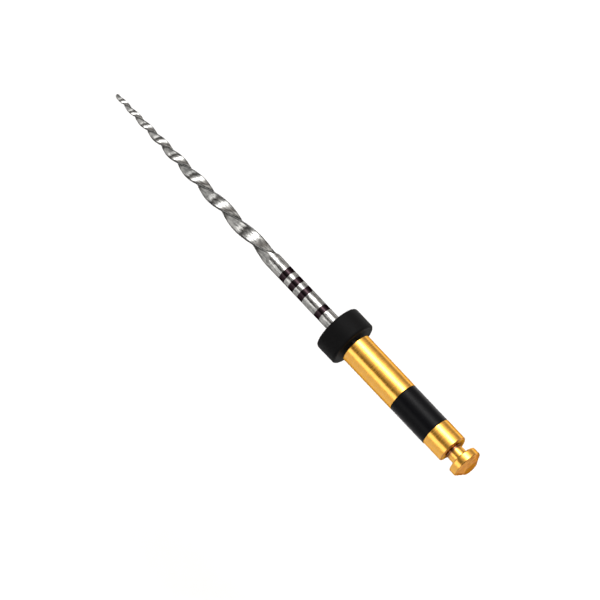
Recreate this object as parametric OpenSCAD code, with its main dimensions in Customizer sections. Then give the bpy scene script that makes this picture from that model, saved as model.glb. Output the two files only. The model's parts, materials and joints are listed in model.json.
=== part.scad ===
// Endodontic file for a latch-type contra-angle handpiece.
// A ground nickel-titanium blade with a left-hand helix, a plain shaft with four depth rings,
// a sliding silicone stop and a turned, gilt latch shank with a black size ring.
//
// The file lies along X with its tip towards -X. The origin is on the axis, at the front face
// of the handle, and the drive flat at the rear end faces -Z.

/* [Blade] */
// Length from the handle's front face to the tip
file_len = 25; // [24:0.5:31]
// Length of the ground flutes, measured from the tip
flute_len = 16.4; // [14:0.2:17.2]
// Diameter of the tip, before its end is rounded off
tip_d = 0.34; // [0.2:0.01:0.4]
// Length of one full turn of the helix at the tip
pitch_tip = 3.3; // [3:0.1:4.5]
// Length of one full turn of the helix at the shaft end
pitch_shaft = 12.7; // [9:0.1:14]
// Where the helix ends round the axis, in degrees
helix_end_angle = 54; // [0:1:119]
// Height of a flute face's sides above the axis, as a share of the edge radius
face_height = 0.57; // [0.53:0.01:0.7]
// How far the middle of a face is ground hollow, as a share of that radius
face_hollow = 0.085; // [0.02:0.005:0.1]
// Length over which the flutes run out into the plain shaft
runout_len = 0.9; // [0.6:0.1:2]

/* [Shaft] */
// Diameter of the plain shaft
shaft_d = 1.17; // [1:0.01:1.2]
// Length of the shaft's root inside the handle
root_len = 4; // [3:0.1:4.2]
// Thickness of the adhesive round the root
bond_gap = 0.05; // [0.03:0.01:0.08]
// Width of a depth ring
ring_w = 0.5; // [0.3:0.02:0.6]
// Depth of a depth ring below the shaft's surface
ring_depth = 0.02; // [0.02:0.005:0.04]
// Tip to the far edge of the 18 mm ring
ring_18 = 18.15; // [17.8:0.01:18.2]
// Tip to the far edge of the 19 mm ring
ring_19 = 19.1; // [18.8:0.01:19.2]
// Tip to the far edge of the 20 mm ring
ring_20 = 20.06; // [19.8:0.01:20.2]
// Tip to the far edge of the 22 mm ring
ring_22 = 21.82; // [21.5:0.01:22]

/* [Stop] */
// Outer diameter of the stop
stop_d = 3.73; // [3:0.01:4.5]
// Thickness of the stop
stop_t = 1.8; // [1.2:0.05:1.9]
// Radius of the stop's rounded outer edges
stop_round = 0.22; // [0.1:0.02:0.4]
// Space round the shaft in the stop's bore, on the radius
stop_clearance = 0.02; // [0.01:0.005:0.05]
// Space left between the stop and the handle when the stop is right back
stop_gap = 0.2; // [0.05:0.01:0.3]

/* [Handle] */
// Diameter of the latch shank
shank_d = 2.35; // [2.3:0.01:2.4]
// Length of the front part, up to the size ring
front_len = 4.92; // [4.8:0.02:6]
// Length of the size ring
band_len = 3.39; // [2:0.01:4]
// Length of the part between the size ring and the neck
rear_len = 1.83; // [1.4:0.01:3]
// Length of the neck
neck_len = 0.83; // [0.7:0.01:1]
// Diameter of the neck
neck_d = 1.24; // [1.2:0.02:1.5]
// Length of the full-diameter rim of the latch head
head_rim_len = 0.62; // [0.5:0.01:0.9]
// Length of the cone behind that rim
head_cone_len = 0.34; // [0.2:0.01:0.5]
// Diameter of the flat end of the latch head
head_end_d = 1.16; // [0.8:0.02:1.6]
// Distance from the axis to the drive flat
flat_dist = 0.6; // [0.55:0.01:0.65]
// Chamfer on the handle's front edge
edge_chamfer = 0.06; // [0.03:0.01:0.1]
// Chamfer on the edge in front of the neck
rear_chamfer = 0.09; // [0.03:0.01:0.15]
// Chamfer on the front edge of the latch head
head_chamfer = 0.15; // [0.05:0.01:0.2]

/* [Size ring] */
// Depth of the groove that holds the size ring
groove_depth = 0.22; // [0.15:0.01:0.25]
// How far the size ring lies below the shank's surface
band_recess = 0.01; // [0.01:0.005:0.03]

/* [Hidden] */

$fn = 96;
shaft_r = shaft_d / 2;
shank_r = shank_d / 2;
bore_r = shaft_r + bond_gap;
bore_depth = root_len + bond_gap;
tip_x = -file_len;
flute_end_x = tip_x + flute_len;

// places along the handle
band_x = front_len;
rear_x = band_x + band_len;
neck_x = rear_x + rear_len;
head_x = neck_x + neck_len;
cone_x = head_x + head_rim_len;
end_x = cone_x + head_cone_len;

// blade sections: rings of points from the tip to the shaft
flutes = 3;
half_face = 180 / flutes;
face_steps = 8;
section_step = 0.2;
nose_len = 0.16;
nose_rings = 4;
overlap = 0.1;
end_step = 0.03;
pitch_power = 1.5;
taper_power = 1.6;
runout_power = 3;
hollow_fade = 0.4;

// where the seams of the turned pieces lie round the axis, in degrees from straight down
side_seam = 90;
top_seam = 180;

// a turned solid of revolution about X: each point is [x, radius]
module turned(profile, seam = side_seam) {
    rotate([seam, 0, 0])
        rotate([0, 90, 0])
            rotate_extrude()
                polygon([for (p = profile) [p[1], p[0]]]);
}

// radius of the cutting edges at s millimetres from the tip: the taper eases off towards the shaft
blade_end_r = shaft_r - end_step;
function taper_r(s) = blade_end_r - (blade_end_r - tip_d / 2) * pow(1 - s / flute_len, taper_power);

// the rounded nose of the tip, as a share of the radius
function nose(s) = s >= nose_len ? 1 : sqrt(1 - pow(1 - s / nose_len, 2));

// turns of the helix made between s and the shaft end, by summing short lengths
function pitch(s) = pitch_tip + (pitch_shaft - pitch_tip) * pow(s / flute_len, pitch_power);
turn_steps = 200;
turn_step = flute_len / turn_steps;
function turns_to_shaft(s, i = 0, sum = 0) =
    let (at = s + (i + 0.5) * turn_step)
    at > flute_len ? sum : turns_to_shaft(s, i + 1, sum + turn_step / pitch(at));
function face_angle(s) = helix_end_angle + 360 * turns_to_shaft(min(s, flute_len));

// share of the way through the run-out, and the height of a flute face's sides, which rises there
function runout(s) = max(0, min(1, 1 - (flute_len - s) / runout_len));
function side_height(s) =
    taper_r(s) * (face_height + (1 - face_height) * pow(runout(s), runout_power));

// radius of the rounded cutting edges, and half the width of a face between them
function edge_round(s) = (2 * face_height - 1) * taper_r(s);
function half_width(s) = (side_height(s) - edge_round(s)) * tan(half_face);

// how far the face's middle is sunk at s, and the radius of the arc that makes it hollow
function hollow(s) = face_hollow * taper_r(s) * min(1, (1 - s / flute_len) / hollow_fade);
function hollow_r(s) = (pow(half_width(s), 2) + pow(hollow(s), 2)) / (2 * hollow(s));

// distance from the axis to a face or a rounded edge, at angle a from the face's middle
function face_r(s, a) =
    let (centre = side_height(s) - hollow(s) + hollow_r(s))
    centre * cos(a) - sqrt(pow(hollow_r(s), 2) - pow(centre * sin(a), 2));
function edge_r(s, a) =
    let (centre = (side_height(s) - edge_round(s)) / cos(half_face), off = half_face - abs(a))
    centre * cos(off) + sqrt(pow(edge_round(s), 2) - pow(centre * sin(off), 2));
function section_r(s, a) =
    abs(a) >= atan2(half_width(s), side_height(s)) ? edge_r(s, a)
    : hollow(s) < 0.001 ? side_height(s) / cos(a)
    : face_r(s, a);

// one ring of points round the blade at s
function ring_points(s) = [
    for (f = [0 : flutes - 1], i = [0 : face_steps - 1])
        let (
            at = min(s, flute_len),
            a = half_face * sin(180 * i / face_steps - 90),
            r = nose(at) * min(taper_r(at), section_r(at, a)),
            turn = face_angle(s) + a + f * 2 * half_face
        )
        [tip_x + s, r * cos(turn), r * sin(turn)]
];

// the blade, closed at the tip by a point and at its other end by a flat buried in the shaft
module blade() {
    nose_s = [for (i = [1 : nose_rings]) nose_len * (1 - cos(90 * i / nose_rings))];
    body_s = [for (s = [nose_len + section_step : section_step : flute_len - 0.01]) s];
    n = flutes * face_steps;
    rings = [for (s = concat(nose_s, body_s, [flute_len, flute_len + overlap])) ring_points(s)];
    last = len(rings) - 1;
    points = concat([[tip_x, 0, 0]], [for (r = rings) each r]);
    faces = concat(
        [for (i = [0 : n - 1]) [0, 1 + i, 1 + (i + 1) % n]],
        [
            for (k = [0 : last - 1], i = [0 : n - 1])
                let (a = 1 + k * n + i, b = 1 + k * n + (i + 1) % n)
                each [[a, a + n, b], [b, a + n, b + n]]
        ],
        [[for (i = [n - 1 : -1 : 0]) 1 + last * n + i]]
    );
    polyhedron(points, faces);
}

// the sunk ring in the shaft's surface whose far edge is `far` from the tip
module sunk_ring(far, outer_r) {
    x = tip_x + far;
    turned([
        [x - ring_w, shaft_r - ring_depth],
        [x, shaft_r - ring_depth],
        [x, outer_r],
        [x - ring_w, outer_r]
    ]);
}

// nickel-titanium blank: blade, plain shaft and root in one piece
module file_shaft() {
    color("lightsteelblue")
        union() {
            blade();
            difference() {
                translate([flute_end_x, 0, 0])
                    rotate([0, 90, 0])
                        cylinder(h = root_len - flute_end_x, r = shaft_r);
                for (far = [ring_18, ring_19, ring_20, ring_22])
                    sunk_ring(far, shaft_r + 1);
            }
        }
}

module depth_mark(far) {
    color([0.12, 0.07, 0.08])
        sunk_ring(far, shaft_r);
}

module depth_mark_18() { depth_mark(ring_18); }
module depth_mark_19() { depth_mark(ring_19); }
module depth_mark_20() { depth_mark(ring_20); }
module depth_mark_22() { depth_mark(ring_22); }

// cured adhesive between the root and the handle's bore
module bond_sleeve() {
    color([0.8, 0.75, 0.6])
        turned([
            [bond_gap, shaft_r],
            [root_len, shaft_r],
            [root_len, 0],
            [bore_depth, 0],
            [bore_depth, bore_r],
            [bond_gap, bore_r]
        ]);
}

// gilt latch shank with the groove for the size ring, the neck, the head and the bore
module handle() {
    groove_r = shank_r - groove_depth;
    color("goldenrod")
        difference() {
            turned([
                [0, 0],
                [0, shank_r - edge_chamfer],
                [edge_chamfer, shank_r],
                [band_x, shank_r],
                [band_x, groove_r],
                [rear_x, groove_r],
                [rear_x, shank_r],
                [neck_x - rear_chamfer, shank_r],
                [neck_x, shank_r - rear_chamfer],
                [neck_x, neck_d / 2],
                [head_x, neck_d / 2],
                [head_x, shank_r - head_chamfer],
                [head_x + head_chamfer, shank_r],
                [cone_x, shank_r],
                [end_x, head_end_d / 2],
                [end_x, 0]
            ]);
            // blind bore for the root
            translate([-1, 0, 0])
                rotate([0, 90, 0])
                    cylinder(h = 1 + bore_depth, r = bore_r);
            // drive flat, over the rear part and the head
            translate([rear_x, -shank_d, -flat_dist - shank_d])
                cube([end_x, 2 * shank_d, shank_d]);
        }
}

// black size ring moulded into the groove
module colour_band() {
    color([0.08, 0.08, 0.1])
        turned([
            [band_x, shank_r - groove_depth],
            [rear_x, shank_r - groove_depth],
            [rear_x, shank_r - band_recess],
            [band_x, shank_r - band_recess]
        ]);
}

// silicone stop, drawn right back against the handle
module stop() {
    back_x = -stop_gap;
    front_x = back_x - stop_t;
    in_r = shaft_r + stop_clearance;
    edge_r = stop_d / 2 - stop_round;
    steps = 6;
    color([0.1, 0.1, 0.1])
        turned(
            concat(
                [[front_x, in_r]],
                [
                    for (i = [0 : steps])
                        rounded_edge(front_x + stop_round, edge_r, 180 - 90 * i / steps)
                ],
                [
                    for (i = [0 : steps])
                        rounded_edge(back_x - stop_round, edge_r, 90 - 90 * i / steps)
                ],
                [[back_x, in_r]]
            ),
            top_seam
        );
}

// a point on one of the stop's rounded edges, at an angle round the edge's centre
function rounded_edge(x, r, angle) = [x + stop_round * cos(angle), r + stop_round * sin(angle)];

file_shaft();
depth_mark_18();
depth_mark_19();
depth_mark_20();
depth_mark_22();
bond_sleeve();
handle();
colour_band();
stop();
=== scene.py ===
import json
import math

import bpy
from mathutils import Matrix, Vector


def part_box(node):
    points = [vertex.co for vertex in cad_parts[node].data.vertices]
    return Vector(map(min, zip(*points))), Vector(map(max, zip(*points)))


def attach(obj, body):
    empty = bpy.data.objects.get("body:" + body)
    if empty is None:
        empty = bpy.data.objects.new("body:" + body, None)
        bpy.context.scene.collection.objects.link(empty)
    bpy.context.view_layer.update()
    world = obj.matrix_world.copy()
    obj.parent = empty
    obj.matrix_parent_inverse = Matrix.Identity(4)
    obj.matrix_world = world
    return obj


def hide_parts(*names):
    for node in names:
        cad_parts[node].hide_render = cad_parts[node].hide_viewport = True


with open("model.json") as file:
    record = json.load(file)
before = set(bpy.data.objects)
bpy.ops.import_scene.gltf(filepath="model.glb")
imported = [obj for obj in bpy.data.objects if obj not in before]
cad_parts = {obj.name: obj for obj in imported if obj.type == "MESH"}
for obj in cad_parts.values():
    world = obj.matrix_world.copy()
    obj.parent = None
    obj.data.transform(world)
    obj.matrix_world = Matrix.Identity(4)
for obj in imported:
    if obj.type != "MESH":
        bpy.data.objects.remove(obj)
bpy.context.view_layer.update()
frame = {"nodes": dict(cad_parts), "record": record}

# Lengths in this script are in millimetres, and MM turns them into the scene's metres.
MM = 0.001


# ---- places and sizes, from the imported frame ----
def span(node):
    """Where a CAD node starts and ends along X, and its radius."""
    low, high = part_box(node)
    return low.x / MM, high.x / MM, high.y / MM


def mount(name):
    """The record's mount of that name."""
    return next(m for m in frame["record"]["mounts"] if m["name"] == name)


TIP_X, ROOT_X, _ = span("file_shaft")
HANDLE_X, END_X, _ = span("handle")
BAND_X, REAR_X, BAND_R = span("colour_band")
STOP_FRONT, STOP_BACK, STOP_R = span("stop")
BOND_X, BOND_END, BORE_R = span("bond_sleeve")
SHANK_R = mount("latch_shank")["dims"]["r_mm"]
FLAT_DIST = -mount("drive_flat")["pos_m"][2] / MM
NECK_MID = mount("latch_neck")["pos_m"][0] / MM
MARKS = {n: span(n) for n in sorted(frame["nodes"]) if n.startswith("depth_mark")}
SHAFT_R = max(r for _, _, r in MARKS.values())

# ---- sizes that the frame's boxes don't give ----
# shank
NECK_R = 0.62
NECK_LEN = 0.83
HEAD_RIM = 0.62
HEAD_END_R = 0.58
GROOVE_DEPTH = 0.22
REAR_CHAMFER = 0.09
# radius of a rounded edge of the shank or the size ring
EDGE = 0.06
# the smallest ring of a turned end face, which a flat face then fills
PINHOLE_R = 0.001

# size ring: the gap at each end of it
RING_GAP = 0.015

# stop
STOP_BORE_R = SHAFT_R + 0.02
STOP_ROUND = 0.22

# depth marks: how deep they are sunk, and how far their groove's walls lean
MARK_DEPTH = 0.02
MARK_LEAN = 0.001

# root
ROOT_CHAMFER = 0.1

# blade: three faces on a left-hand helix that opens towards the shaft
FACES = 3
FLUTE_LEN = 16.4
TIP_R = 0.17
TAPER_POWER = 1.6
PITCH_TIP = 3.3
PITCH_SHAFT = 12.7
PITCH_POWER = 1.5
END_ANGLE = math.radians(54)
# height of a face's sides above the axis, as a share of the blade's radius
FACE_HEIGHT = 0.57
# how far a face's middle is ground hollow, as a share of that radius
FACE_HOLLOW = 0.085
# where that fades out, as shares of the flutes' length
HOLLOW_FADE = (0.35, 0.87)
# a shallower hollow than this counts as flat
LEAST_HOLLOW = 0.0005
# length over which the flutes run out into the shaft, and of the rounded tip
RUNOUT = 0.9
RUNOUT_POWER = 3
NOSE = 0.16
# where the painted shade along a cutting edge starts, as a share of the way from a face's middle
EDGE_START = 0.8
EDGE_BLEND = 0.08

# ---- fineness of the meshes ----
ROUND_SIDES = 192
FACE_SAMPLES = 40
# distance from the tip to the blade's first ring
FIRST_RING = 0.001
NOSE_RINGS = 12
BODY_RINGS = 600
RUNOUT_RINGS = 90
# steps of the sum that gives the helix its angle between two rings
HELIX_STEPS = 20
# how close to the end of a long side its extra ring lies
BRACE = 0.02
# edges over this angle in degrees are shaded sharp
SHARP = 28.0
BLADE_SHARP = 18.0


# ---- meshes ----
def add_mesh(name, points, faces, material, body, node, sharp=SHARP):
    """A smooth-shaded piece that stands for a CAD node. Edges over sharp degrees stay sharp."""
    mesh = bpy.data.meshes.new(name)
    mesh.from_pydata([Vector(p) * MM for p in points], [], faces)
    mesh.validate()
    mesh.polygons.foreach_set("use_smooth", [True] * len(mesh.polygons))
    mesh.set_sharp_from_angle(angle=math.radians(sharp))
    mesh.materials.append(material)
    piece = bpy.data.objects.new(name, mesh)
    bpy.context.scene.collection.objects.link(piece)
    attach(piece, body)
    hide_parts(node)
    return piece


def skin(rings, loop=False):
    """Points and faces of a closed skin over rings of equal length, wound to face outwards."""
    n = len(rings[0])
    points = [p for ring in rings for p in ring]
    faces = []
    for k in range(len(rings) if loop else len(rings) - 1):
        a, b = k * n, (k + 1) % len(rings) * n
        for i in range(n):
            j = (i + 1) % n
            faces.append((a + i, a + j, b + j, b + i))
    if not loop:
        last = (len(rings) - 1) * n
        faces.append(tuple(range(n - 1, -1, -1)))
        faces.append(tuple(last + i for i in range(n)))
    return points, faces


def softened(outline, radius, steps=4):
    """The outline with its corners rounded.

    A point is (x, r) if it stays sharp, or (x, r, share) for an arc of that share of radius. An arc
    takes less than half of a side, so two of them never meet.
    """
    most = 0.48
    made = []
    for i, point in enumerate(outline):
        here = Vector(point[:2])
        if len(point) == 2:
            made.append(tuple(here))
            continue
        before = Vector(outline[i - 1][:2]) - here
        after = Vector(outline[(i + 1) % len(outline)][:2]) - here
        half = before.angle(after) / 2
        reach = radius * point[2] / math.tan(half)
        start = here + before.normalized() * min(reach, before.length * most)
        end = here + after.normalized() * min(reach, after.length * most)
        for k in range(steps + 1):
            t = k / steps
            made.append(tuple((1 - t) ** 2 * start + 2 * t * (1 - t) * here + t * t * end))
    return made


def braced(outline, loop):
    """The outline with a point close to each end of every long side, so its shading stays even."""
    made = []
    ends = outline[1:] + outline[:1] if loop else outline[1:]
    for start, end in zip(outline, ends):
        made.append(start)
        a, b = Vector(start), Vector(end)
        if (b - a).length > 4 * BRACE:
            step = (b - a).normalized() * BRACE
            made += [tuple(a + step), tuple(b - step)]
    return made if loop else made + [outline[-1]]


def turned_ring(x, r, count, flat):
    """A ring round X. If it reaches past flat, its underside is cut off level there."""
    if r <= flat:
        angles = [2 * math.pi * i / count for i in range(count)]
        return [(x, r * math.sin(a), -r * math.cos(a)) for a in angles]
    edge = math.acos(flat / r)
    low = count // 4
    ring = []
    for i in range(low):
        a = -edge + 2 * edge * i / low
        ring.append((x, flat * math.tan(a), -flat))
    for i in range(count - low):
        a = edge + 2 * (math.pi - edge) * i / (count - low)
        ring.append((x, r * math.sin(a), -r * math.cos(a)))
    return ring


def turned(name, outline, material, body, node, loop=False, flat_from=math.inf):
    """A piece turned round X from its (x, r) outline, with the drive flat from flat_from on."""
    places = braced(outline, loop)
    rings = [
        turned_ring(x, r, ROUND_SIDES, FLAT_DIST if x >= flat_from else math.inf)
        for x, r in places
    ]
    points, faces = skin(rings, loop)
    return add_mesh(name, points, faces, material, body, node)


# ---- the nickel-titanium blank ----
def blade_radius(s):
    """Radius over the cutting edges, s from the tip: the taper eases off towards the shaft."""
    return SHAFT_R - (SHAFT_R - TIP_R) * (1 - s / FLUTE_LEN) ** TAPER_POWER


def pitch(s):
    """Length of one turn of the helix, s from the tip."""
    return PITCH_TIP + (PITCH_SHAFT - PITCH_TIP) * (s / FLUTE_LEN) ** PITCH_POWER


def helix_angles(stations):
    """Angle round X of the first face's middle at each station, ending at END_ANGLE."""
    angles = [END_ANGLE]
    for a, b in zip(stations[-2::-1], stations[::-1]):
        width = (b - a) / HELIX_STEPS
        turns = sum(width / pitch(a + (i + 0.5) * width) for i in range(HELIX_STEPS))
        angles.append(angles[-1] + 2 * math.pi * turns)
    return angles[::-1]


def face_radius(height, half_width, hollow, a):
    """Distance from the axis to a face, at angle a from its middle: an arc sunk by hollow."""
    if hollow < LEAST_HOLLOW:
        return height / math.cos(a)
    curve_r = (half_width**2 + hollow**2) / (2 * hollow)
    centre = height - hollow + curve_r
    return centre * math.cos(a) - math.sqrt(curve_r**2 - (centre * math.sin(a)) ** 2)


def section_radius(blade_r, height, hollow, a):
    """Radius of the section at angle a from a face's middle. The faces meet in rounded edges."""
    half = math.pi / FACES
    edge_round = (2 * FACE_HEIGHT - 1) * blade_r
    half_width = (height - edge_round) * math.tan(half)
    if abs(a) < math.atan2(half_width, height):
        return min(blade_r, face_radius(height, half_width, hollow, a))
    centre = (height - edge_round) / math.cos(half)
    off = half - abs(a)
    arc = centre * math.cos(off) + math.sqrt(edge_round**2 - (centre * math.sin(off)) ** 2)
    return min(blade_r, arc)


def blade_ring(s, turn):
    """The section s from the tip, and for each of its points, how much painted edge shade it gets.

    turn is the angle of the first face's middle. The points are closest together at the edges.
    """
    half = math.pi / FACES
    blade_r = blade_radius(s)
    run = max(0.0, 1 - (FLUTE_LEN - s) / RUNOUT)
    height = blade_r * (FACE_HEIGHT + (1 - FACE_HEIGHT) * run**RUNOUT_POWER)
    fade = (HOLLOW_FADE[1] - s / FLUTE_LEN) / (HOLLOW_FADE[1] - HOLLOW_FADE[0])
    hollow = FACE_HOLLOW * blade_r * max(0, min(1, fade))
    nose = math.sqrt(1 - (1 - s / NOSE) ** 2) if s < NOSE else 1.0
    ring = []
    edges = []
    for f in range(FACES):
        middle = turn + f * 2 * half
        for i in range(FACE_SAMPLES):
            a = half * math.sin(math.pi * (i / FACE_SAMPLES - 0.5))
            r = nose * section_radius(blade_r, height, hollow, a)
            ring.append((TIP_X + s, r * math.cos(middle + a), r * math.sin(middle + a)))
            # painted shade along a cutting edge, faded out where the flutes run out into the shaft
            edges.append((1 - run) * max(0, min(1, (abs(a) / half - EDGE_START) / EDGE_BLEND)))
    return ring, edges


def blank(material):
    """The blade, the shaft with its sunk rings and the root, as one piece."""
    quarter = math.pi / 2
    nose = [NOSE * (1 - math.cos(quarter * i / NOSE_RINGS)) for i in range(1, NOSE_RINGS)]
    body = [NOSE + (FLUTE_LEN - RUNOUT - NOSE) * i / BODY_RINGS for i in range(BODY_RINGS)]
    run = [
        FLUTE_LEN - RUNOUT * (1 - math.sin(quarter * i / RUNOUT_RINGS))
        for i in range(RUNOUT_RINGS)
    ]
    stations = [FIRST_RING] + nose + body + run + [FLUTE_LEN]
    angles = helix_angles(stations)
    made = [blade_ring(s, a) for s, a in zip(stations, angles)]
    rings = [ring for ring, _ in made]
    outline = [(TIP_X + FLUTE_LEN + BRACE, SHAFT_R)]
    for x0, x1, _ in MARKS.values():
        outline += [(x0, SHAFT_R), (x0 + MARK_LEAN, SHAFT_R - MARK_DEPTH)]
        outline += [(x1 - MARK_LEAN, SHAFT_R - MARK_DEPTH), (x1, SHAFT_R)]
    outline += [(ROOT_X - ROOT_CHAMFER, SHAFT_R), (ROOT_X, SHAFT_R - ROOT_CHAMFER)]
    around = [math.atan2(z, y) for _, y, z in rings[-1]]
    for x, r in outline:
        rings.append([(x, r * math.cos(a), r * math.sin(a)) for a in around])
    points, faces = skin(rings)
    piece = add_mesh(
        "ground_blank", points, faces, material,
        "file", "file_shaft", BLADE_SHARP,
    )
    # where each point lies on the blank as if its helix were straight: the grinding lines follow it
    grind = piece.data.attributes.new("grind", "FLOAT_VECTOR", "POINT")
    twist = angles + [END_ANGLE] * len(outline)
    values = []
    for ring, turn in zip(rings, twist):
        for x, y, z in ring:
            a = math.atan2(z, y) - turn
            r = math.hypot(y, z)
            values += [x, r * math.cos(a), r * math.sin(a)]
    grind.data.foreach_set("vector", values)
    # painted shade: how dark the band along a cutting edge is painted at each point
    edge = piece.data.attributes.new("edge", "FLOAT", "POINT")
    edge_shade_values = [value for _, edges in made for value in edges]
    edge.data.foreach_set("value", edge_shade_values + [0.0] * (len(points) - len(edge_shade_values)))
    return piece


# ---- materials ----
class Nodes:
    """A new material's nodes, with short calls for the ones used here.

    specular is how strongly it reflects if it isn't a metal. glancing tints a metal's reflection
    where it is seen at a glancing angle.
    """

    def __init__(self, name, colour, metallic, roughness, specular=0.5, glancing=(1, 1, 1)):
        self.material = bpy.data.materials.new(name)
        self.material.use_nodes = True
        self.tree = self.material.node_tree
        self.shader = self.tree.nodes["Principled BSDF"]
        self.shader.inputs["Base Color"].default_value = (*colour, 1)
        self.shader.inputs["Metallic"].default_value = metallic
        self.shader.inputs["Roughness"].default_value = roughness
        self.shader.inputs["Specular IOR Level"].default_value = specular
        self.shader.inputs["Specular Tint"].default_value = (*glancing, 1)

    def add(self, kind, **settings):
        """A new node with its settings."""
        node = self.tree.nodes.new(kind)
        for key, value in settings.items():
            setattr(node, key, value)
        return node

    def link(self, source, target):
        self.tree.links.new(source, target)

    def place(self, scale):
        """The piece's own coordinates in millimetres, stretched by scale along each axis."""
        coordinates = self.add("ShaderNodeTexCoord")
        mapping = self.add("ShaderNodeMapping")
        mapping.inputs["Scale"].default_value = [k / MM for k in scale]
        self.link(coordinates.outputs["Object"], mapping.inputs["Vector"])
        return mapping.outputs["Vector"]

    def grind(self, scale):
        """The blank's straightened coordinates, stretched by scale."""
        attribute = self.add("ShaderNodeAttribute", attribute_name="grind")
        mapping = self.add("ShaderNodeMapping")
        mapping.inputs["Scale"].default_value = scale
        self.link(attribute.outputs["Vector"], mapping.inputs["Vector"])
        return mapping.outputs["Vector"]

    def noise(self, place, detail=3.0, rough=0.5):
        """Soft random values round 0.5, that change from place to place."""
        noise = self.add("ShaderNodeTexNoise")
        noise.inputs["Scale"].default_value = 1.0
        noise.inputs["Detail"].default_value = detail
        noise.inputs["Roughness"].default_value = rough
        self.link(place, noise.inputs["Vector"])
        return noise.outputs["Fac"]

    def spread(self, value, low, high, start=0.3, end=0.7):
        """value, as it goes from start to end, becomes low to high."""
        fit = self.add("ShaderNodeMapRange")
        fit.inputs["From Min"].default_value = start
        fit.inputs["From Max"].default_value = end
        fit.inputs["To Min"].default_value = low
        fit.inputs["To Max"].default_value = high
        self.link(value, fit.inputs["Value"])
        return fit.outputs["Result"]

    def blend(self, value, first, second):
        """A colour between first and second, each of which may come from other nodes."""
        mix = self.add("ShaderNodeMix", data_type="RGBA")
        # a mix node's sockets for colours come after those for numbers and vectors
        for socket, colour in ((mix.inputs[6], first), (mix.inputs[7], second)):
            if isinstance(colour, tuple):
                socket.default_value = (*colour, 1)
            else:
                self.link(colour, socket)
        self.link(value, mix.inputs[0])
        return mix.outputs[2]

    def facing(self, front, edge, start, end):
        """front where the surface faces the viewer, edge where it is seen at a glancing angle."""
        weight = self.add("ShaderNodeLayerWeight")
        return self.spread(weight.outputs["Facing"], front, edge, start, end)

    def past(self, x):
        """How far in millimetres a point lies past x along the axis."""
        parts = self.add("ShaderNodeSeparateXYZ")
        self.link(self.place((1, 1, 1)), parts.inputs[0])
        away = self.add("ShaderNodeMath", operation="SUBTRACT")
        self.link(parts.outputs["X"], away.inputs[0])
        away.inputs[1].default_value = x
        return away.outputs["Value"]

    def corner(self, x, r):
        """Distance in millimetres from the ring of radius r round the axis at x."""
        parts = self.add("ShaderNodeSeparateXYZ")
        self.link(self.place((1, 1, 1)), parts.inputs[0])
        across = self.add("ShaderNodeCombineXYZ")
        self.link(parts.outputs["Y"], across.inputs["Y"])
        self.link(parts.outputs["Z"], across.inputs["Z"])
        radius = self.add("ShaderNodeVectorMath", operation="LENGTH")
        self.link(across.outputs[0], radius.inputs[0])
        here = self.add("ShaderNodeCombineXYZ")
        self.link(parts.outputs["X"], here.inputs["X"])
        self.link(radius.outputs["Value"], here.inputs["Y"])
        away = self.add("ShaderNodeVectorMath", operation="DISTANCE")
        away.inputs[1].default_value = (x, r, 0)
        self.link(here.outputs[0], away.inputs[0])
        return away.outputs["Value"]

    def bump(self, value, height, under=None):
        """The surface raised by value times height, over the bumps in under."""
        bump = self.add("ShaderNodeBump")
        bump.inputs["Distance"].default_value = height * MM
        self.link(value, bump.inputs["Height"])
        if under:
            self.link(under, bump.inputs["Normal"])
        return bump.outputs["Normal"]

    def set(self, socket, value):
        """Links value to one of the shader's sockets."""
        self.link(value, self.shader.inputs[socket])


def nickel_titanium():
    """Ground metal, mottled in places, with painted shade darkening a band along the cutting edges.
    """
    m = Nodes("nickel_titanium", (0.28, 0.27, 0.255), 1, 0.14, glancing=(0.15, 0.15, 0.15))
    lines = m.noise(m.grind((0.8, 40, 40)), 4, 0.6)
    cloud = m.noise(m.grind((2.2, 5, 5)), 4, 0.65)
    mottle = m.spread(cloud, 0, 1, 0.4, 0.6)
    faces = m.blend(mottle, (0.16, 0.16, 0.155), (0.37, 0.365, 0.35))
    # painted shade: a dark band along each cutting edge, in place of its dark reflection
    edge_shade_attribute = m.add("ShaderNodeAttribute", attribute_name="edge")
    m.set("Base Color", m.blend(edge_shade_attribute.outputs["Fac"], faces, (0.06, 0.06, 0.058)))
    m.set("Roughness", m.spread(lines, 0.08, 0.22))
    m.set("Normal", m.bump(lines, 0.001, m.bump(cloud, 0.02)))
    return m.material


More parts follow.
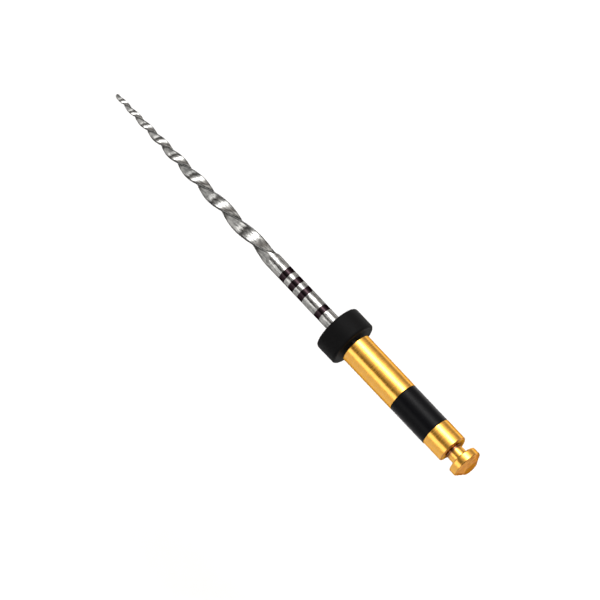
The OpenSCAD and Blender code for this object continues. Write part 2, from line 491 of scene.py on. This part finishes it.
def gilt_brass():
    """Turned and gold-plated brass under a clear lacquer, which pales its highlights."""
    m = Nodes("gilt_brass", (0.67, 0.32, 0.03), 1, 0.24, glancing=(0.5, 0.4, 0.3))
    m.shader.inputs["Coat Roughness"].default_value = 0.12
    m.set("Coat Weight", m.facing(1, 0, 0.35, 0.7))
    turning = m.noise(m.place((24, 0.4, 0.4)), 3, 0.6)
    waves = m.noise(m.place((1.4, 0.9, 0.9)), 2)
    colour = m.blend(m.spread(waves, 0, 1), (0.64, 0.31, 0.028), (0.7, 0.345, 0.036))
    # painted shade, darker and redder, on the cone and the end of the latch head, with a patchy
    # tone
    neck_x = NECK_MID - NECK_LEN / 2
    cone_x = NECK_MID + NECK_LEN / 2 + HEAD_RIM
    patches = m.noise(m.place((4, 4, 4)))
    end_shade = m.blend(m.spread(patches, 0, 1), (0.5, 0.17, 0.006), (0.68, 0.28, 0.012))
    colour = m.blend(m.spread(m.past(cone_x), 0, 1, 0, 0.05), colour, end_shade)
    # painted shade in the corner at the neck and along two edges
    rim = (neck_x - REAR_CHAMFER / 2, SHANK_R - REAR_CHAMFER / 2)
    for ring, near, far, dark in (
        ((neck_x, NECK_R), 0.08, 0.32, (0.16, 0.05, 0.012)),
        (rim, 0.02, 0.08, (0.34, 0.12, 0.01)),
        ((cone_x, SHANK_R), 0.0, 0.05, (0.34, 0.12, 0.01)),
    ):
        colour = m.blend(m.spread(m.corner(*ring), 1, 0, near, far), colour, dark)
    m.set("Base Color", colour)
    m.set("Roughness", m.spread(turning, 0.18, 0.3))
    m.set("Normal", m.bump(turning, 0.0008, m.bump(waves, 0.02)))
    return m.material


def size_ring_plastic():
    """Satin black plastic."""
    m = Nodes("size_ring", (0.0015, 0.0015, 0.002), 0, 0.33, 0.055)
    grain = m.noise(m.place((9, 9, 9)), 4, 0.6)
    m.set("Roughness", m.spread(grain, 0.25, 0.41))
    m.set("Normal", m.bump(grain, 0.006))
    return m.material


def silicone():
    """Matt black rubber."""
    m = Nodes("silicone", (0.0018, 0.0017, 0.0018), 0, 0.6, 0.05)
    grain = m.noise(m.place((12, 12, 12)), 4, 0.65)
    m.set("Roughness", m.spread(grain, 0.52, 0.68))
    m.set("Normal", m.bump(grain, 0.006))
    return m.material


def burnt_mark():
    """Metal burnt dark brown, still smooth."""
    m = Nodes("burnt_mark", (0.02, 0.013, 0.015), 1, 0.1, glancing=(0.2, 0.2, 0.2))
    lines = m.noise(m.place((6, 20, 20)), 3)
    m.set("Base Color", m.blend(m.spread(lines, 0, 1), (0.014, 0.009, 0.01), (0.026, 0.017, 0.02)))
    m.set("Roughness", m.spread(lines, 0.07, 0.14))
    return m.material


def adhesive():
    """Cured amber adhesive, hidden in the handle."""
    m = Nodes("adhesive", (0.62, 0.5, 0.28), 0, 0.25)
    cloud = m.noise(m.place((7, 7, 7)), 3)
    m.set("Roughness", m.spread(cloud, 0.15, 0.4))
    m.set("Normal", m.bump(cloud, 0.01))
    return m.material


# ---- pieces ----
def shank(material):
    """The handle, from the end of its bore forward, over the outside and back to the axis."""
    neck_x = NECK_MID - NECK_LEN / 2
    head_x = NECK_MID + NECK_LEN / 2
    groove_r = SHANK_R - GROOVE_DEPTH
    outline = softened([
        (BOND_END, PINHOLE_R),
        (BOND_END, BORE_R),
        (HANDLE_X, BORE_R, 0.5),
        (HANDLE_X, SHANK_R, 1),
        (BAND_X, SHANK_R, 0.5),
        (BAND_X, groove_r),
        (REAR_X, groove_r),
        (REAR_X, SHANK_R, 0.5),
        (neck_x - REAR_CHAMFER, SHANK_R, 0.5),
        (neck_x, SHANK_R - REAR_CHAMFER, 0.5),
        (neck_x, NECK_R, 1),
        (head_x, NECK_R, 1),
        (head_x, SHANK_R, 2.5),
        (head_x + HEAD_RIM, SHANK_R, 1),
        (END_X, HEAD_END_R, 0.5),
        (END_X, PINHOLE_R),
    ], EDGE)
    turned("latch_shank", outline, material, "file", "handle", flat_from=REAR_X)


def size_ring(material):
    """The black ring in the handle's groove."""
    front_x, back_x = BAND_X + RING_GAP, REAR_X - RING_GAP
    low_r = SHANK_R - GROOVE_DEPTH
    outline = softened([
        (front_x, low_r),
        (front_x, BAND_R, 1),
        (back_x, BAND_R, 1),
        (back_x, low_r),
    ], EDGE)
    turned("size_ring", outline, material, "file", "colour_band", loop=True)


def stop_ring(material):
    """The silicone stop, with rounded rims."""
    outline = softened([
        (STOP_FRONT, STOP_BORE_R, 0.25),
        (STOP_FRONT, STOP_R, 1),
        (STOP_BACK, STOP_R, 1),
        (STOP_BACK, STOP_BORE_R, 0.25),
    ], STOP_ROUND, 8)
    turned("silicone_stop", outline, material, "stop_ring", "stop", loop=True)


def depth_rings(material):
    """The dark rings that fill the shaft's shallow grooves."""
    for node, (x0, x1, r) in MARKS.items():
        low_r = r - MARK_DEPTH
        outline = [(x0, low_r), (x0, r), (x1, r), (x1, low_r)]
        name = node.replace("depth_mark", "depth_ring")
        turned(name, outline, material, "file", node, loop=True)


def bond(material):
    """The adhesive between the root and the handle's bore."""
    outline = [(BOND_X, SHAFT_R), (BOND_X, BORE_R), (BOND_END, BORE_R), (BOND_END, SHAFT_R)]
    turned("bond_film", outline, material, "file", "bond_sleeve", loop=True)


blank(nickel_titanium())
depth_rings(burnt_mark())
bond(adhesive())
shank(gilt_brass())
size_ring(size_ring_plastic())
stop_ring(silicone())


# ---- camera ----
# how far the latch end leans towards the camera, how far the camera has gone round the axis from
# straight above, and how steeply the axis runs down the picture
LEAN = math.radians(14.5)
ROUND = math.radians(47.6)
SLOPE = math.radians(46.58)
# the picture's middle, along the axis and across it
AIM = (-5.18, -0.545)
CAMERA_DIST = 1040.0
LENS = 900.0
SENSOR = 36.0
CLIP = (10.0, 10000.0)


def camera():
    """A long lens. The latch end leans towards it, and is at the picture's lower right."""
    data = bpy.data.cameras.new("camera")
    data.lens = LENS
    data.sensor_width = SENSOR
    data.clip_start, data.clip_end = (distance * MM for distance in CLIP)
    back = Vector((
        math.sin(LEAN),
        -math.cos(LEAN) * math.sin(ROUND),
        math.cos(LEAN) * math.cos(ROUND),
    ))
    along = (Vector((1, 0, 0)) - back * back.x).normalized()
    across = back.cross(along)
    right = along * math.cos(SLOPE) + across * math.sin(SLOPE)
    up = across * math.cos(SLOPE) - along * math.sin(SLOPE)
    place = (Vector((AIM[0], 0, 0)) + across * AIM[1] + back * CAMERA_DIST) * MM
    turn = Matrix((right, up, back)).transposed().to_4x4()
    view = bpy.data.objects.new("camera", data)
    view.matrix_world = Matrix.Translation(place) @ turn
    bpy.context.scene.collection.objects.link(view)
    bpy.context.scene.camera = view


# ---- light and floor ----
# the middle of the long soft light overhead, parallel to the file, as a direction from it
LIGHT_LEAN = math.radians(7.5)
LIGHT_DIR = (0, -math.sin(LIGHT_LEAN), math.cos(LIGHT_LEAN))
# where it starts and ends along the file, as how far a direction points towards the latch end
FRONT_END = (-0.85, -0.6)
REAR_END = (0.35, 0.6)
# its brightness at each angle to either side of its middle, in degrees
LIGHT_FALL = [
    (0, 11.0), (8, 7.2), (15, 3.3), (21, 1.5), (28, 0.9), (36, 0.52), (44, 0.25), (52, 0.0),
]
# brightness of the walls and of the strip along the horizon, in front of the file and behind it
NEAR_WALL = 0.2
FAR_WALL = 0.5
NEAR_HORIZON = 2.3
FAR_HORIZON = 1.2
# how far a direction points backwards where one side passes into the other
SIDES = (-0.6, 0.6)
# the bright strip reaches higher behind the file than in front, and dims towards both ends
HORIZON_UP = (0, -0.118, 1)
HORIZON_EDGE = (0.24, 0.4)
HORIZON_ENDS = (0.5, 0.85)
END_HORIZON = 0.1
WALL_TINT = (1.0, 0.93, 0.88)
# the floor lies this far below the axis, and reaches this far along it and to either side
FLOOR_DROP = 30.0
FLOOR_REACH = (600.0, 120.0)


class Sky:
    """The world's nodes, as sums of simple functions of the direction."""

    def __init__(self, name):
        self.world = bpy.data.worlds.new(name)
        self.world.use_nodes = True
        self.tree = self.world.node_tree
        self.direction = self.tree.nodes.new("ShaderNodeTexCoord").outputs["Generated"]

    def math(self, operation, *values):
        """The result of a sum on values, which are numbers or come from other nodes."""
        node = self.tree.nodes.new("ShaderNodeMath")
        node.operation = operation
        for socket, value in zip(node.inputs, values):
            if isinstance(value, (int, float)):
                socket.default_value = value
            else:
                self.tree.links.new(value, socket)
        return node.outputs["Value"]

    def towards(self, axis):
        """How far the direction points along axis, from -1 to 1."""
        node = self.tree.nodes.new("ShaderNodeVectorMath")
        node.operation = "DOT_PRODUCT"
        node.inputs[1].default_value = axis
        self.tree.links.new(self.direction, node.inputs[0])
        return node.outputs["Value"]

    def ramp(self, value, start, end, low, high):
        """A smooth step from low to high as value goes from start to end."""
        node = self.tree.nodes.new("ShaderNodeMapRange")
        node.interpolation_type = "SMOOTHSTEP"
        for socket, number in zip(node.inputs[1:5], (start, end, low, high)):
            socket.default_value = number
        self.tree.links.new(value, node.inputs[0])
        return node.outputs["Result"]

    def show(self, parts):
        """The sum of a background for each (strength, colour)."""
        total = None
        for strength, colour in parts:
            back = self.tree.nodes.new("ShaderNodeBackground")
            back.inputs["Color"].default_value = (*colour, 1)
            self.tree.links.new(strength, back.inputs["Strength"])
            if total:
                both = self.tree.nodes.new("ShaderNodeAddShader")
                self.tree.links.new(total, both.inputs[0])
                self.tree.links.new(back.outputs[0], both.inputs[1])
                total = both.outputs[0]
            else:
                total = back.outputs[0]
        self.tree.links.new(total, self.tree.nodes["World Output"].inputs["Surface"])
        bpy.context.scene.world = self.world


def studio():
    """A dim room with one long soft light overhead and a bright strip along the horizon."""
    sky = Sky("studio")
    rearward = sky.towards((1, 0, 0))
    along = sky.math("ABSOLUTE", rearward)
    across = sky.math("SQRT", sky.math("SUBTRACT", 1, sky.math("MULTIPLY", along, along)))
    near_light = sky.math("DIVIDE", sky.towards(LIGHT_DIR), across)
    glow = 0.0
    for (inner, bright), (outer, dim) in zip(LIGHT_FALL, LIGHT_FALL[1:]):
        start, end = math.cos(math.radians(outer)), math.cos(math.radians(inner))
        glow = sky.math("ADD", glow, sky.ramp(near_light, start, end, 0, bright - dim))
    glow = sky.math("MULTIPLY", glow, sky.ramp(rearward, *FRONT_END, 0, 1))
    glow = sky.math("MULTIPLY", glow, sky.ramp(rearward, *REAR_END, 1, 0))
    side = sky.towards((0, 1, 0))
    low = sky.ramp(sky.towards(HORIZON_UP), *HORIZON_EDGE, 1, 0)
    wall = sky.ramp(side, *SIDES, NEAR_WALL, FAR_WALL)
    horizon = sky.math("MULTIPLY", low, sky.ramp(side, *SIDES, NEAR_HORIZON, FAR_HORIZON))
    horizon = sky.math("MULTIPLY", horizon, sky.ramp(along, *HORIZON_ENDS, 1, END_HORIZON))
    sky.show([(sky.math("ADD", glow, horizon), (1, 1, 1)), (wall, WALL_TINT)])


def pale_floor():
    """A plain rectangle below the file."""
    mesh = bpy.data.meshes.new("floor")
    x, y = (reach * MM for reach in FLOOR_REACH)
    z = -FLOOR_DROP * MM
    mesh.from_pydata([(-x, -y, z), (x, -y, z), (x, y, z), (-x, y, z)], [], [(0, 1, 2, 3)])
    m = Nodes("pale_floor", (0.5, 0.5, 0.5), 0, 0.35, 0.5)
    mesh.materials.append(m.material)
    piece = bpy.data.objects.new("floor", mesh)
    bpy.context.scene.collection.objects.link(piece)


camera()
studio()
pale_floor()
bpy.context.scene.view_settings.view_transform = "Standard"
